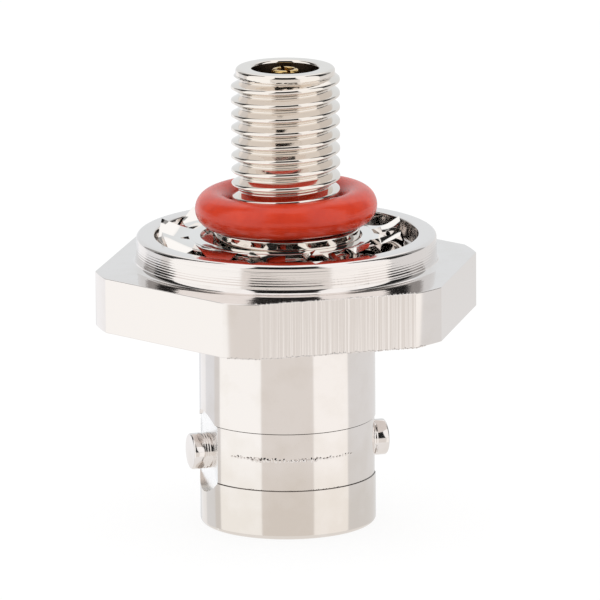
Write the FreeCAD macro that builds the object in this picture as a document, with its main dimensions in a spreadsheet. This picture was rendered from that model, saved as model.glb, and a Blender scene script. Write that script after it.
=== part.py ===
import FreeCAD, Part
import os
import Sketcher
from FreeCAD import Placement, Rotation, Vector

# Bayonet coaxial adapter for an antenna, standing on the mouth of its barrel.
# Origin: centre of the barrel's mouth. +Z: up the barrel, towards the threaded stud.
# The two bayonet lugs point along +X and -X. Lengths are in millimetres, angles in degrees.

doc = FreeCAD.newDocument("antenna_adapter")

SIZES = [
    # Barrel, turned; the band and the pockets round the lugs are milled
    ("barrel_radius", 4.80, "outside of the barrel"),
    ("barrel_length", 11.42, "mouth to the underside of the flange"),
    ("barrel_wall", 0.725, "wall round the bore that takes the plug"),
    ("mouth_bevel", 0.20, "bevels of the mouth's two edges"),
    ("socket_depth", 8.40, "depth of the bore that takes the plug"),
    ("shelf_thickness", 1.00, "web that the barrel insulator rests on"),
    ("band_height", 4.33, "middle of the milled band above the mouth"),
    ("band_width", 3.16, "milled band between the lugs"),
    ("band_depth", 0.05, "depth of the milled band"),
    # Bayonet lugs
    ("lug_height", 4.22, "middle of the lugs above the mouth"),
    ("lug_radius", 0.985, "radius of a lug"),
    ("lug_stand", 0.75, "end of a lug outside the barrel"),
    ("lug_bevel", 0.12, "bevel of a lug's end"),
    ("pocket_radius", 2.40, "pocket milled round a lug"),
    ("pocket_depth", 0.27, "flat floor of a pocket inside the barrel's surface"),
    # Flange and collar
    ("flange_thickness", 3.00, "hexagonal flange"),
    ("flange_ledge", 1.43, "flats of the hexagon outside the collar"),
    ("corner_rise", 0.95, "corners, left round from the bar, outside the flats"),
    ("collar_radius", 8.17, "outside of the collar"),
    ("collar_height", 1.60, "collar above the flange"),
    ("collar_wall", 1.00, "wall of the collar round the recess"),
    ("collar_bevel", 0.20, "bevel of the collar's top edge"),
    ("collar_foot", 0.20, "bevel left at the foot of the collar"),
    ("recess_depth", 1.10, "recess for the washer, from the collar's top"),
    # Stud insert
    ("spigot_radius", 3.45, "part of the insert inside the flange"),
    ("spigot_bevel", 0.30, "leading bevel of the spigot"),
    ("hub_radius", 4.00, "hub that carries the washer and the ring"),
    ("hub_height", 1.50, "hub above the floor of the recess"),
    ("hub_bevel", 0.12, "bevel of the hub's edge"),
    ("thread_radius", 2.96, "crest of the thread"),
    ("thread_depth", 0.46, "crest to root of the thread"),
    ("relief_height", 1.85, "plain neck under the thread, which the ring lies round"),
    ("stud_length", 8.80, "stud above the hub"),
    ("lead_height", 0.35, "plain lead above the thread"),
    ("lead_drop", 0.26, "that lead under the crest of the thread"),
    ("rim_bevel", 0.12, "bevels of the rim's two edges"),
    ("stud_bore", 1.82, "radius of the stud's bore"),
    # Lock washer
    ("washer_play", 0.40, "round the hub"),
    ("washer_band", 0.65, "plain ring inside the teeth"),
    ("washer_thickness", 0.40, "strip that the washer is stamped from"),
    ("tooth_thickness", 0.35, "a tooth, drawn thinner than the strip by its twist"),
    ("tooth_overlap", 0.03, "how far a tooth starts inside the ring"),
    ("washer_room", 0.07, "left between the teeth and the collar's wall where they are nearest"),
    ("tooth_count", 12, "teeth round the washer"),
    ("tooth_root", 1.70, "width of a tooth at its root"),
    ("tooth_tip", 2.10, "width of a tooth at its tip"),
    ("tooth_twist", 36.0, "twist of a tooth at its tip"),
    ("washer_turn", 6.00, "turn of the first tooth from the lugs"),
    ("washer_heading", 118.60, "direction in which the loose washer lies off the axis"),
    # O-ring
    ("ring_section", 0.99, "radius of the ring's section"),
    ("ring_play", 0.01, "round the thread"),
    ("ring_tilt", 1.30, "the ring lies a little askew"),
    ("tilt_heading", 73.6, "direction of the line that it tilts about"),
    # Insulators and contact
    ("fit_clearance", 0.01, "between pressed or trapped pieces"),
    ("boss_recess", 0.60, "end of the insulator inside the mouth"),
    ("boss_radius", 2.40, "insulator round the contact in the barrel"),
    ("boss_bevel", 0.15, "bevel of the boss's end"),
    ("trapped_thickness", 1.60, "insulator flange held under the insert"),
    ("sleeve_recess", 2.20, "end of the stud's insulator under the rim"),
    ("socket_recess", 0.95, "lower end of the contact inside the mouth"),
    ("socket_contact", 1.05, "radius of the contact in the barrel"),
    ("socket_pin", 0.69, "hole for the plug's pin"),
    ("socket_pin_depth", 5.40, "depth of that hole"),
    ("finger_room", 0.08, "room for the contact's fingers to spread"),
    ("socket_slot", 0.28, "width of the lower slots"),
    ("socket_slot_depth", 4.60, "length of the lower slots"),
    ("contact_collar", 1.60, "radius of the collar that traps the contact"),
    ("contact_collar_height", 0.80, "height of that collar"),
    ("stud_contact", 0.725, "radius of the contact in the stud"),
    ("stud_contact_recess", 0.10, "upper end of the contact under the rim"),
    ("stud_pin", 0.47, "hole for the antenna's pin"),
    ("stud_pin_depth", 4.20, "depth of that hole"),
    ("stud_slot", 0.20, "width of the upper slots"),
    ("stud_slot_depth", 3.40, "length of the upper slots"),
    ("contact_bevel", 0.12, "bevel of the contact's two ends"),
    ("drill_point", 31.0, "slope of the drilled holes' ends"),
    # Tooling
    ("cutter_overrun", 1.50, "how far a cutter runs past the metal"),
]

sheet = doc.addObject("Spreadsheet::Sheet", "sizes")
for row, (alias, value, note) in enumerate(SIZES, start=1):
    sheet.set(f"A{row}", note)
    sheet.set(f"B{row}", str(value))
    sheet.setAlias(f"B{row}", alias)
doc.recompute()

# Levels up the adapter, and the radii that several pieces share
FLANGE_TOP = "(sizes.barrel_length + sizes.flange_thickness)"
COLLAR_TOP = f"({FLANGE_TOP} + sizes.collar_height)"
RECESS_FLOOR = f"({COLLAR_TOP} - sizes.recess_depth)"
HUB_TOP = f"({RECESS_FLOOR} + sizes.hub_height)"
STUD_TOP = f"({HUB_TOP} + sizes.stud_length)"
SHELF_TOP = "(sizes.socket_depth + sizes.shelf_thickness)"
SPIGOT_FOOT = f"({SHELF_TOP} + sizes.trapped_thickness)"
INSERT_BORE = "(sizes.spigot_radius + sizes.fit_clearance)"
SOCKET_RADIUS = "(sizes.barrel_radius - sizes.barrel_wall)"
RECESS_RADIUS = "(sizes.collar_radius - sizes.collar_wall)"


def number(expression):
    """Value of an expression on the sheet."""
    return float(sheet.evalExpression(expression))


def new_body(name):
    body = doc.addObject("PartDesign::Body", name)
    body.Label = name
    return body


def new_sketch(body, name, plane, height="0", turn="0"):
    """Sketch on one of the body's origin planes, lifted and turned on its own normal."""
    origin_plane = next(part for part in body.Origin.OriginFeatures if part.Role == plane)
    sketch = body.newObject("Sketcher::SketchObject", name)
    sketch.AttachmentSupport = [(origin_plane, "")]
    sketch.MapMode = "FlatFace"
    sketch.AttachmentOffset = Placement(Vector(), Rotation(Vector(0, 0, 1), number(turn)))
    sketch.setExpression("AttachmentOffset.Base.z", height)
    sketch.setExpression("AttachmentOffset.Rotation.Angle", turn)
    return sketch


def place_point(sketch, line, across, up):
    """Bind the start of a line to two expressions, or to an axis where one is zero."""
    for axis, kind, expression in ((-2, "DistanceX", across), (-1, "DistanceY", up)):
        if expression == "0":
            sketch.addConstraint(Sketcher.Constraint("PointOnObject", line, 1, axis))
        else:
            bound = sketch.addConstraint(Sketcher.Constraint(kind, line, 1, number(expression)))
            sketch.setExpression(f"Constraints[{bound}]", expression)


def draw_outline(sketch, corners):
    """Closed outline of straight lines, each corner bound to the sheet."""
    points = [Vector(number(across), number(up), 0) for across, up in corners]
    lines = [
        sketch.addGeometry(Part.LineSegment(point, points[(place + 1) % len(points)]), False)
        for place, point in enumerate(points)
    ]
    for place, line in enumerate(lines):
        following = lines[(place + 1) % len(lines)]
        sketch.addConstraint(Sketcher.Constraint("Coincident", line, 2, following, 1))
    for line, (across, up) in zip(lines, corners):
        place_point(sketch, line, across, up)


def draw_circle(sketch, radius, up="0"):
    """Circle on the sketch's vertical axis, its radius and height bound to the sheet."""
    centre = Vector(0, number(up), 0)
    circle = sketch.addGeometry(Part.Circle(centre, Vector(0, 0, 1), number(radius)), False)
    size = sketch.addConstraint(Sketcher.Constraint("Radius", circle, number(radius)))
    sketch.setExpression(f"Constraints[{size}]", radius)
    sketch.addConstraint(Sketcher.Constraint("PointOnObject", circle, 3, -2))
    if up == "0":
        sketch.addConstraint(Sketcher.Constraint("PointOnObject", circle, 3, -1))
    else:
        level = sketch.addConstraint(Sketcher.Constraint("DistanceY", circle, 3, number(up)))
        sketch.setExpression(f"Constraints[{level}]", up)


def draw_rectangle(sketch, width, depth):
    """Rectangle centred on the sketch's origin."""
    right = f"({width}) / 2"
    far = f"({depth}) / 2"
    draw_outline(sketch, [(f"-{right}", f"-{far}"), (right, f"-{far}"), (right, far), (f"-{right}", far)])


def turn_profile(body, name, corners):
    """Turned solid: an outline of radius and height spun round the Z axis."""
    sketch = new_sketch(body, f"{name}_profile", "XZ_Plane")
    draw_outline(sketch, corners)
    turned = body.newObject("PartDesign::Revolution", name)
    turned.Profile = sketch
    turned.ReferenceAxis = (sketch, ["V_Axis"])
    turned.Angle = 360
    doc.recompute()
    return turned


def cut(body, name, sketch, length, backwards=False):
    pocket = body.newObject("PartDesign::Pocket", name)
    pocket.Profile = sketch
    pocket.Reversed = backwards
    pocket.setExpression("Length", length)
    return pocket


def repeat_round(body, name, features, count, angle=360):
    """Copies of some features about the Z axis."""
    pattern = body.newObject("PartDesign::PolarPattern", name)
    z_axis = next(part for part in body.Origin.OriginFeatures if part.Role == "Z_Axis")
    pattern.Originals = features
    pattern.Axis = (z_axis, [""])
    pattern.Angle = angle
    pattern.setExpression("Occurrences", count)
    body.Tip = pattern
    doc.recompute()
    return pattern


def circles_at(shape, radius, centre):
    """Names of the circular edges of one radius about one centre."""
    found = []
    for place, edge in enumerate(shape.Edges, start=1):
        curve = edge.Curve
        if isinstance(curve, Part.Circle) and abs(curve.Radius - radius) < 1e-4:
            if (curve.Center - centre).Length < 1e-4:
                found.append(f"Edge{place}")
    return found


def bevel(body, name, size, edges):
    finished = body.Tip
    chamfer = body.newObject("PartDesign::Chamfer", name)
    chamfer.Base = (finished, edges)
    chamfer.setExpression("Size", size)
    body.Tip = chamfer
    doc.recompute()
    return chamfer


# Shell: barrel, hexagonal flange and collar, turned from one bar
shell = new_body("shell")
BAND_LOW = "(sizes.band_height - sizes.band_width / 2)"
BAND_HIGH = "(sizes.band_height + sizes.band_width / 2)"
BAND_RADIUS = "(sizes.barrel_radius - sizes.band_depth)"
BOSS_HOLE = "(sizes.boss_radius + sizes.fit_clearance)"
HALF_FLATS = "(sizes.collar_radius + sizes.flange_ledge)"
CORNER_RADIUS = f"({HALF_FLATS} + sizes.corner_rise)"
turn_profile(shell, "shell_blank", [
    (f"{SOCKET_RADIUS} + sizes.mouth_bevel", "0"),
    ("sizes.barrel_radius - sizes.mouth_bevel", "0"),
    ("sizes.barrel_radius", "sizes.mouth_bevel"),
    ("sizes.barrel_radius", BAND_LOW),
    (BAND_RADIUS, BAND_LOW),
    (BAND_RADIUS, BAND_HIGH),
    ("sizes.barrel_radius", BAND_HIGH),
    ("sizes.barrel_radius", "sizes.barrel_length"),
    (CORNER_RADIUS, "sizes.barrel_length"),
    (CORNER_RADIUS, FLANGE_TOP),
    ("sizes.collar_radius + sizes.collar_foot", FLANGE_TOP),
    ("sizes.collar_radius", f"{FLANGE_TOP} + sizes.collar_foot"),
    ("sizes.collar_radius", f"{COLLAR_TOP} - sizes.collar_bevel"),
    ("sizes.collar_radius - sizes.collar_bevel", COLLAR_TOP),
    (RECESS_RADIUS, COLLAR_TOP),
    (RECESS_RADIUS, RECESS_FLOOR),
    (INSERT_BORE, RECESS_FLOOR),
    (INSERT_BORE, SHELF_TOP),
    (BOSS_HOLE, SHELF_TOP),
    (BOSS_HOLE, "sizes.socket_depth"),
    (SOCKET_RADIUS, "sizes.socket_depth"),
    (SOCKET_RADIUS, "sizes.mouth_bevel"),
])

# The six flats are milled off the round flange; two of the corners, left round, lie over the lugs
flats = new_sketch(shell, "flats", "XY_Plane", FLANGE_TOP)
CORNER_REACH = f"{HALF_FLATS} / cos(30 deg)"
draw_outline(flats, [
    (f"{CORNER_REACH} * cos({60 * corner} deg)", f"{CORNER_REACH} * sin({60 * corner} deg)")
    for corner in range(6)
])
draw_circle(flats, f"{CORNER_REACH} + sizes.cutter_overrun")
cut(shell, "milled_flats", flats, "sizes.flange_thickness")

# A pocket with a flat floor is milled round each lug, and the lug is left standing in it
POCKET_FLOOR = "(sizes.barrel_radius - sizes.pocket_depth)"
LUG_REACH = "(sizes.barrel_radius + sizes.lug_stand)"
pocket_circle = new_sketch(shell, "pocket_circle", "YZ_Plane", POCKET_FLOOR)
draw_circle(pocket_circle, "sizes.pocket_radius", "sizes.lug_height")
lug_pocket = cut(shell, "lug_pocket", pocket_circle, "sizes.cutter_overrun", backwards=True)
lug_circle = new_sketch(shell, "lug_circle", "YZ_Plane", POCKET_FLOOR)
draw_circle(lug_circle, "sizes.lug_radius", "sizes.lug_height")
lug = shell.newObject("PartDesign::Pad", "lug")
lug.Profile = lug_circle
lug.setExpression("Length", f"{LUG_REACH} - {POCKET_FLOOR}")
repeat_round(shell, "two_lugs", [lug_pocket, lug], "2")

lug_ends = [
    Vector(side * number(LUG_REACH), 0, number("sizes.lug_height"))
    for side in (-1, 1)
]
end_edges = [
    edge
    for end in lug_ends
    for edge in circles_at(shell.Tip.Shape, number("sizes.lug_radius"), end)
]
bevel(shell, "bevelled_lugs", "sizes.lug_bevel", end_edges)

# Stud insert: spigot, hub and stud, turned in one and pressed into the flange
stud = new_body("stud")
LEAD_RADIUS = "(sizes.thread_radius - sizes.lead_drop)"
LEAD_FOOT = f"({STUD_TOP} - sizes.lead_height)"
RELIEF_RADIUS = "(sizes.thread_radius - sizes.thread_depth)"
RELIEF_TOP = f"({HUB_TOP} + sizes.relief_height)"
turn_profile(stud, "stud_turned", [
    ("sizes.stud_bore", SPIGOT_FOOT),
    ("sizes.spigot_radius - sizes.spigot_bevel", SPIGOT_FOOT),
    ("sizes.spigot_radius", f"{SPIGOT_FOOT} + sizes.spigot_bevel"),
    ("sizes.spigot_radius", RECESS_FLOOR),
    ("sizes.hub_radius", RECESS_FLOOR),
    ("sizes.hub_radius", f"{HUB_TOP} - sizes.hub_bevel"),
    ("sizes.hub_radius - sizes.hub_bevel", HUB_TOP),
    (RELIEF_RADIUS, HUB_TOP),
    (RELIEF_RADIUS, RELIEF_TOP),
    ("sizes.thread_radius", f"{RELIEF_TOP} + sizes.thread_depth"),
    ("sizes.thread_radius", f"{LEAD_FOOT} - sizes.lead_drop"),
    (LEAD_RADIUS, LEAD_FOOT),
    (LEAD_RADIUS, f"{STUD_TOP} - sizes.rim_bevel"),
    (f"{LEAD_RADIUS} - sizes.rim_bevel", STUD_TOP),
    ("sizes.stud_bore + sizes.rim_bevel", STUD_TOP),
    ("sizes.stud_bore", f"{STUD_TOP} - sizes.rim_bevel"),
])

# Lock washer: a stamped ring whose outer teeth are twisted, each on its own radius
lock_washer = new_body("lock_washer")
WASHER_BORE = "(sizes.hub_radius + sizes.washer_play)"
ROOT_RADIUS = f"({WASHER_BORE} + sizes.washer_band)"
TIP_RADIUS = f"({RECESS_RADIUS} - sizes.washer_play - sizes.washer_room)"
WASHER_SHIFT = "(sizes.washer_play - sizes.fit_clearance)"
TOOTH_DROP = (
    "(sizes.tooth_tip / 2 * sin(sizes.tooth_twist * 1 deg)"
    " + sizes.tooth_thickness / 2 * cos(sizes.tooth_twist * 1 deg))"
)
ring_circles = new_sketch(lock_washer, "ring_circles", "XY_Plane", "-sizes.washer_thickness / 2")
draw_circle(ring_circles, ROOT_RADIUS)
draw_circle(ring_circles, WASHER_BORE)
plain_ring = lock_washer.newObject("PartDesign::Pad", "plain_ring")
plain_ring.Profile = ring_circles
plain_ring.setExpression("Length", "sizes.washer_thickness")

# A tooth starts just inside the ring's edge, level with it, and twists on its way to the tip
TOOTH_START = (
    f"(sqrt({ROOT_RADIUS} * {ROOT_RADIUS} - sizes.tooth_root * sizes.tooth_root / 4)"
    " - sizes.tooth_overlap)"
)
TOOTH_STATIONS = [
    (TOOTH_START, "sizes.tooth_root", "0"),
    (f"{TIP_RADIUS} + sizes.washer_room / 2", "sizes.tooth_tip", "-sizes.tooth_twist"),
]
stations = []
for place, (reach, width, twist) in enumerate(TOOTH_STATIONS, start=1):
    station = new_sketch(lock_washer, f"tooth_station_{place}", "YZ_Plane", reach, twist)
    draw_rectangle(station, width, "sizes.tooth_thickness")
    stations.append(station)
doc.recompute()
tooth = lock_washer.newObject("PartDesign::AdditiveLoft", "tooth")
tooth.Profile = stations[0]
tooth.Sections = stations[1:]
repeat_round(lock_washer, "twelve_teeth", [tooth], "sizes.tooth_count")

# The blanking punch leaves the tips on one circle. The washer then lies loose, against the hub
tip_outline = new_sketch(lock_washer, "tip_outline", "XZ_Plane")
draw_outline(tip_outline, [
    (TIP_RADIUS, f"-({TOOTH_DROP} + sizes.washer_thickness)"),
    (f"{TIP_RADIUS} + sizes.cutter_overrun", f"-({TOOTH_DROP} + sizes.washer_thickness)"),
    (f"{TIP_RADIUS} + sizes.cutter_overrun", f"{TOOTH_DROP} + sizes.washer_thickness"),
    (TIP_RADIUS, f"{TOOTH_DROP} + sizes.washer_thickness"),
])
blanked_tips = lock_washer.newObject("PartDesign::Groove", "blanked_tips")
blanked_tips.Profile = tip_outline
blanked_tips.ReferenceAxis = (tip_outline, ["V_Axis"])
blanked_tips.Angle = 360
lock_washer.Placement = Placement(Vector(), Rotation(Vector(0, 0, 1), number("sizes.washer_turn")))
lock_washer.setExpression("Placement.Base.x", f"{WASHER_SHIFT} * cos(sizes.washer_heading * 1 deg)")
lock_washer.setExpression("Placement.Base.y", f"{WASHER_SHIFT} * sin(sizes.washer_heading * 1 deg)")
lock_washer.setExpression("Placement.Base.z", f"{RECESS_FLOOR} + {TOOTH_DROP} + sizes.fit_clearance")
lock_washer.setExpression("Placement.Rotation.Angle", "sizes.washer_turn")

# O-ring: lies on the hub round the foot of the thread, a little askew
o_ring = doc.addObject("Part::Torus", "o_ring")
o_ring.Label = "o_ring"
RING_RADIUS = "(sizes.thread_radius + sizes.ring_play + sizes.ring_section)"
o_ring.setExpression("Radius1", RING_RADIUS)
o_ring.setExpression("Radius2", "sizes.ring_section")
RING_RISE = f"{RING_RADIUS} * sin(sizes.ring_tilt * 1 deg)"
o_ring.setExpression("Placement.Base.z", f"{HUB_TOP} + sizes.ring_section + {RING_RISE}")
o_ring.setExpression("Placement.Rotation.Axis.x", "cos(sizes.tilt_heading * 1 deg)")
o_ring.setExpression("Placement.Rotation.Axis.y", "sin(sizes.tilt_heading * 1 deg)")
o_ring.setExpression("Placement.Rotation.Axis.z", "0")
o_ring.setExpression("Placement.Rotation.Angle", "-sizes.ring_tilt")

# Barrel insulator: boss round the contact, flange trapped between the shelf and the insert
barrel_insulator = new_body("barrel_insulator")
FINGER_HOLE = "(sizes.socket_contact + sizes.finger_room)"
COLLAR_SEAT = f"({SPIGOT_FOOT} - sizes.contact_collar_height)"
turn_profile(barrel_insulator, "barrel_insulator_turned", [
    (FINGER_HOLE, "sizes.boss_recess"),
    ("sizes.boss_radius - sizes.boss_bevel", "sizes.boss_recess"),
    ("sizes.boss_radius", "sizes.boss_recess + sizes.boss_bevel"),
    ("sizes.boss_radius", SHELF_TOP),
    ("sizes.spigot_radius", SHELF_TOP),
    ("sizes.spigot_radius", SPIGOT_FOOT),
    ("sizes.contact_collar + sizes.fit_clearance", SPIGOT_FOOT),
    ("sizes.contact_collar + sizes.fit_clearance", COLLAR_SEAT),
    ("sizes.socket_contact + sizes.fit_clearance", COLLAR_SEAT),
    ("sizes.socket_contact + sizes.fit_clearance", "sizes.socket_recess + sizes.socket_pin_depth"),
    (FINGER_HOLE, "sizes.socket_recess + sizes.socket_pin_depth"),
])

# Stud insulator: sleeve that centres the contact in the stud's bore
stud_insulator = new_body("stud_insulator")
SLEEVE_TOP = f"({STUD_TOP} - sizes.sleeve_recess)"
turn_profile(stud_insulator, "stud_insulator_turned", [
    ("sizes.stud_contact + sizes.fit_clearance", SPIGOT_FOOT),
    ("sizes.stud_bore - sizes.fit_clearance", SPIGOT_FOOT),
    ("sizes.stud_bore - sizes.fit_clearance", SLEEVE_TOP),
    ("sizes.stud_contact + sizes.fit_clearance", SLEEVE_TOP),
])

# Centre contact: one turned piece with a slotted socket at each end
centre_contact = new_body("centre_contact")
CONTACT_TOP = f"({STUD_TOP} - sizes.stud_contact_recess)"
SOCKET_END = "(sizes.socket_recess + sizes.socket_pin_depth)"
STUD_HOLE_END = f"({CONTACT_TOP} - sizes.stud_pin_depth)"
POINT_SLOPE = "tan(sizes.drill_point * 1 deg)"
turn_profile(centre_contact, "contact_turned", [
    ("sizes.socket_pin", "sizes.socket_recess"),
    ("sizes.socket_contact - sizes.contact_bevel", "sizes.socket_recess"),
    ("sizes.socket_contact", "sizes.socket_recess + sizes.contact_bevel"),
    ("sizes.socket_contact", COLLAR_SEAT),
    ("sizes.contact_collar", COLLAR_SEAT),
    ("sizes.contact_collar", SPIGOT_FOOT),
    ("sizes.stud_contact", SPIGOT_FOOT),
    ("sizes.stud_contact", f"{CONTACT_TOP} - sizes.contact_bevel"),
    ("sizes.stud_contact - sizes.contact_bevel", CONTACT_TOP),
    ("sizes.stud_pin", CONTACT_TOP),
    ("sizes.stud_pin", STUD_HOLE_END),
    ("0", f"{STUD_HOLE_END} - sizes.stud_pin * {POINT_SLOPE}"),
    ("0", f"{SOCKET_END} + sizes.socket_pin * {POINT_SLOPE}"),
    ("sizes.socket_pin", SOCKET_END),
])

# Each end is slotted twice at right angles, which leaves four spring fingers
socket_slot = new_sketch(centre_contact, "socket_slot", "XY_Plane", "sizes.socket_recess")
draw_rectangle(socket_slot, "2 * sizes.contact_collar + sizes.cutter_overrun", "sizes.socket_slot")
socket_cut = cut(centre_contact, "socket_cut", socket_slot, "sizes.socket_slot_depth", backwards=True)
repeat_round(centre_contact, "socket_fingers", [socket_cut], "2", 90)
stud_slot = new_sketch(centre_contact, "stud_slot", "XY_Plane", CONTACT_TOP)
draw_rectangle(stud_slot, "2 * sizes.contact_collar + sizes.cutter_overrun", "sizes.stud_slot")
stud_cut = cut(centre_contact, "stud_cut", stud_slot, "sizes.stud_slot_depth")
repeat_round(centre_contact, "stud_fingers", [stud_cut], "2", 90)

doc.recompute()
NODES = [shell, stud, lock_washer, o_ring, barrel_insulator, stud_insulator, centre_contact]
for item in doc.Objects:
    if "Invalid" in item.State or "Error" in item.State:
        raise RuntimeError(f"{item.Label} did not build: {item.State}")
for node in NODES:
    if node.Shape.isNull() or not node.Shape.isValid() or len(node.Shape.Solids) != 1:
        raise RuntimeError(f"{node.Label} is not one valid solid")

os.makedirs("parts", exist_ok=True)
for node in NODES:
    node.Shape.exportStep(f"parts/{node.Label}.step")
    box = node.Shape.BoundBox
    print(f"{node.Label}: {node.Shape.Volume:.2f} mm3, z {box.ZMin:.2f} to {box.ZMax:.2f}")
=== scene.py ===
import math
import random

import bmesh
import bpy
from mathutils import Matrix, Vector


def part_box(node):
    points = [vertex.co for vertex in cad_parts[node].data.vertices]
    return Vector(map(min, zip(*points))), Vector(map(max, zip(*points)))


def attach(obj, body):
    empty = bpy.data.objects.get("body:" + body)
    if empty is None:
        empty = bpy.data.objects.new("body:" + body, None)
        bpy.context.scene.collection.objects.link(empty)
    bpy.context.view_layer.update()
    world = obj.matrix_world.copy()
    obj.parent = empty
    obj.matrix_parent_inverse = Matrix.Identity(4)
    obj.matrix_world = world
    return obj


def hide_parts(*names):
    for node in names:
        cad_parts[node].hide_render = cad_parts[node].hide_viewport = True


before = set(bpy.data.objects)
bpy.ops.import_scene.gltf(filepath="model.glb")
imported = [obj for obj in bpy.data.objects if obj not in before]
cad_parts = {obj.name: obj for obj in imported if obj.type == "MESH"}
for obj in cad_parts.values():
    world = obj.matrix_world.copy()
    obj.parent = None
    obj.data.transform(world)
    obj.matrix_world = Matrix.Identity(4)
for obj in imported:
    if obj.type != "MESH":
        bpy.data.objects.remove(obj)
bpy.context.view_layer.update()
MM = 0.001

# Shell: turned in one from a round brass bar and nickel plated. A bayonet barrel carries a
# flange with six milled flats, and on it stands a low collar, bored out for the washer.
COLLAR_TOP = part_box("shell")[1].z
COLLAR_HEIGHT = 1.60 * MM
COLLAR_FILLET = 0.30 * MM
FLANGE_HEIGHT = 3.00 * MM
FLANGE_TOP = COLLAR_TOP - COLLAR_HEIGHT
FLANGE_FOOT = FLANGE_TOP - FLANGE_HEIGHT
FLANGE_EDGE = 0.04 * MM
RECESS_DEPTH = 1.10 * MM
RECESS_FLOOR = COLLAR_TOP - RECESS_DEPTH
BARREL = 4.80 * MM
BARREL_WALL = 0.725 * MM
SOCKET = BARREL - BARREL_WALL
SOCKET_TOP = 8.40 * MM
SHELF = 1.00 * MM
SHELF_TOP = SOCKET_TOP + SHELF
BOSS_HOLE = 2.41 * MM
INSERT_BORE = 3.46 * MM
COLLAR = 8.17 * MM
COLLAR_WALL = 1.00 * MM
RECESS = COLLAR - COLLAR_WALL
HALF_FLATS = COLLAR + 1.43 * MM
CORNER = HALF_FLATS + 0.95 * MM
LUG_HEIGHT = 4.22 * MM
BAND_MIDDLE = 4.33 * MM
BAND_HALF = 1.58 * MM
BAND_LOW = BAND_MIDDLE - BAND_HALF
BAND_HIGH = BAND_MIDDLE + BAND_HALF
BAND_DEPTH = 0.05 * MM
BAND = BARREL - BAND_DEPTH
BAND_BEVEL = 0.05 * MM
BAND_UNDERCUT = 0.03 * MM
SAME_PLACE = 1e-8
SEAM_GAP = 2e-7


def rounded(corners, steps=8):
    """Outline of radius and height, from corners given as radius, height and rounding."""
    points = []
    for place, (radius, height, rounding) in enumerate(corners):
        corner = Vector((radius, height))
        if not rounding:
            points.append(corner)
            continue
        before = (Vector(corners[place - 1][:2]) - corner).normalized()
        after = (Vector(corners[(place + 1) % len(corners)][:2]) - corner).normalized()
        half = before.angle(after) / 2
        centre = corner + (before + after).normalized() * rounding / math.sin(half)
        start = corner + before * rounding / math.tan(half) - centre
        end = corner + after * rounding / math.tan(half) - centre
        start.normalize()
        end.normalize()
        points += [centre + start.slerp(end, step / steps) * rounding for step in range(steps + 1)]
    return points


def mesh_of(name, made):
    """A mesh of a hand-made shape, which is then let go."""
    mesh = bpy.data.meshes.new(name)
    made.to_mesh(mesh)
    made.free()
    return mesh


def at_angle(radius, angle, height):
    return radius * math.cos(angle), radius * math.sin(angle), height


def turned(name, outline, angles, reach=lambda radius, angle: radius, closed=True):
    """Mesh of an outline spun round Z, outer wall upwards. reach() gives a milled bar's radius."""
    made = bmesh.new()
    rings = [[made.verts.new(at_angle(reach(r, a), a, z)) for a in angles] for r, z in outline]
    uppers = rings[1:] + rings[:1] if closed else rings[1:]
    for lower, upper in zip(rings, uppers):
        for side in range(len(angles)):
            after = (side + 1) % len(angles)
            made.faces.new((lower[side], lower[after], upper[after], upper[side]))
    bmesh.ops.remove_doubles(made, verts=made.verts, dist=SAME_PLACE)
    return mesh_of(name, made)


def round_angles(count):
    return [2 * math.pi * step / count for step in range(count)]


def show(name, mesh):
    piece = bpy.data.objects.new(name, mesh)
    bpy.context.scene.collection.objects.link(piece)
    return piece


def smoothed(mesh, sharp_from=20):
    mesh.shade_smooth()
    mesh.set_sharp_from_angle(angle=math.radians(sharp_from))


def applied(piece):
    """The piece with its modifiers worked into its mesh."""
    bpy.context.view_layer.update()
    evaluated = piece.evaluated_get(bpy.context.evaluated_depsgraph_get())
    mesh = bpy.data.meshes.new_from_object(evaluated)
    piece.modifiers.clear()
    piece.data = mesh
    return piece


def worked(piece, operation, cutter):
    """Adds the cutter's shape to the piece or takes it away. The cutter itself goes."""
    working = piece.modifiers.new(cutter.name, "BOOLEAN")
    working.operation = operation
    working.solver = "EXACT"
    working.object = cutter
    applied(piece)
    bpy.data.objects.remove(cutter)


def joined(name, *meshes):
    """One mesh of several that share their edges."""
    made = bmesh.new()
    for mesh in meshes:
        made.from_mesh(mesh)
    bmesh.ops.remove_doubles(made, verts=made.verts, dist=SEAM_GAP)
    return mesh_of(name, made)


# The flats are milled on a round blank, so the hexagon keeps six round corners
SIXTH = math.pi / 3
FLAT_SPREAD = math.acos(HALF_FLATS / CORNER)
CORNER_SPREAD = SIXTH / 2 - FLAT_SPREAD
CORNER_STEPS = 10
FLAT_STEPS = 50


def flange_reach(radius, angle):
    if radius < HALF_FLATS:
        return radius
    from_flat = abs(angle % SIXTH - SIXTH / 2)
    return min(CORNER, HALF_FLATS / math.cos(from_flat)) - (CORNER - radius)


shell_angles = []
for corner in range(6):
    middle = corner * math.pi / 3
    shell_angles += [
        middle + CORNER_SPREAD * (2 * step / CORNER_STEPS - 1) for step in range(CORNER_STEPS)
    ]
    shell_angles += [
        middle + CORNER_SPREAD + 2 * FLAT_SPREAD * step / FLAT_STEPS for step in range(FLAT_STEPS)
    ]

# Fine lines that the turning tool left on the collar's wall
LINES = 7
LINE = 0.14 * MM
LINES_FOOT = FLANGE_TOP + 0.36 * MM
LINE_DEPTHS_MM = (0.0085, 0.0125)
lathe = random.Random(4)
collar_lines = []
for line in range(LINES):
    cut = lathe.uniform(*LINE_DEPTHS_MM) * MM
    foot = LINES_FOOT + line * LINE
    for quarter, share in enumerate((0, 0.5, 1, 0.5)):
        collar_lines.append((COLLAR - cut * share, foot + quarter * LINE / 4, 0))

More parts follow.
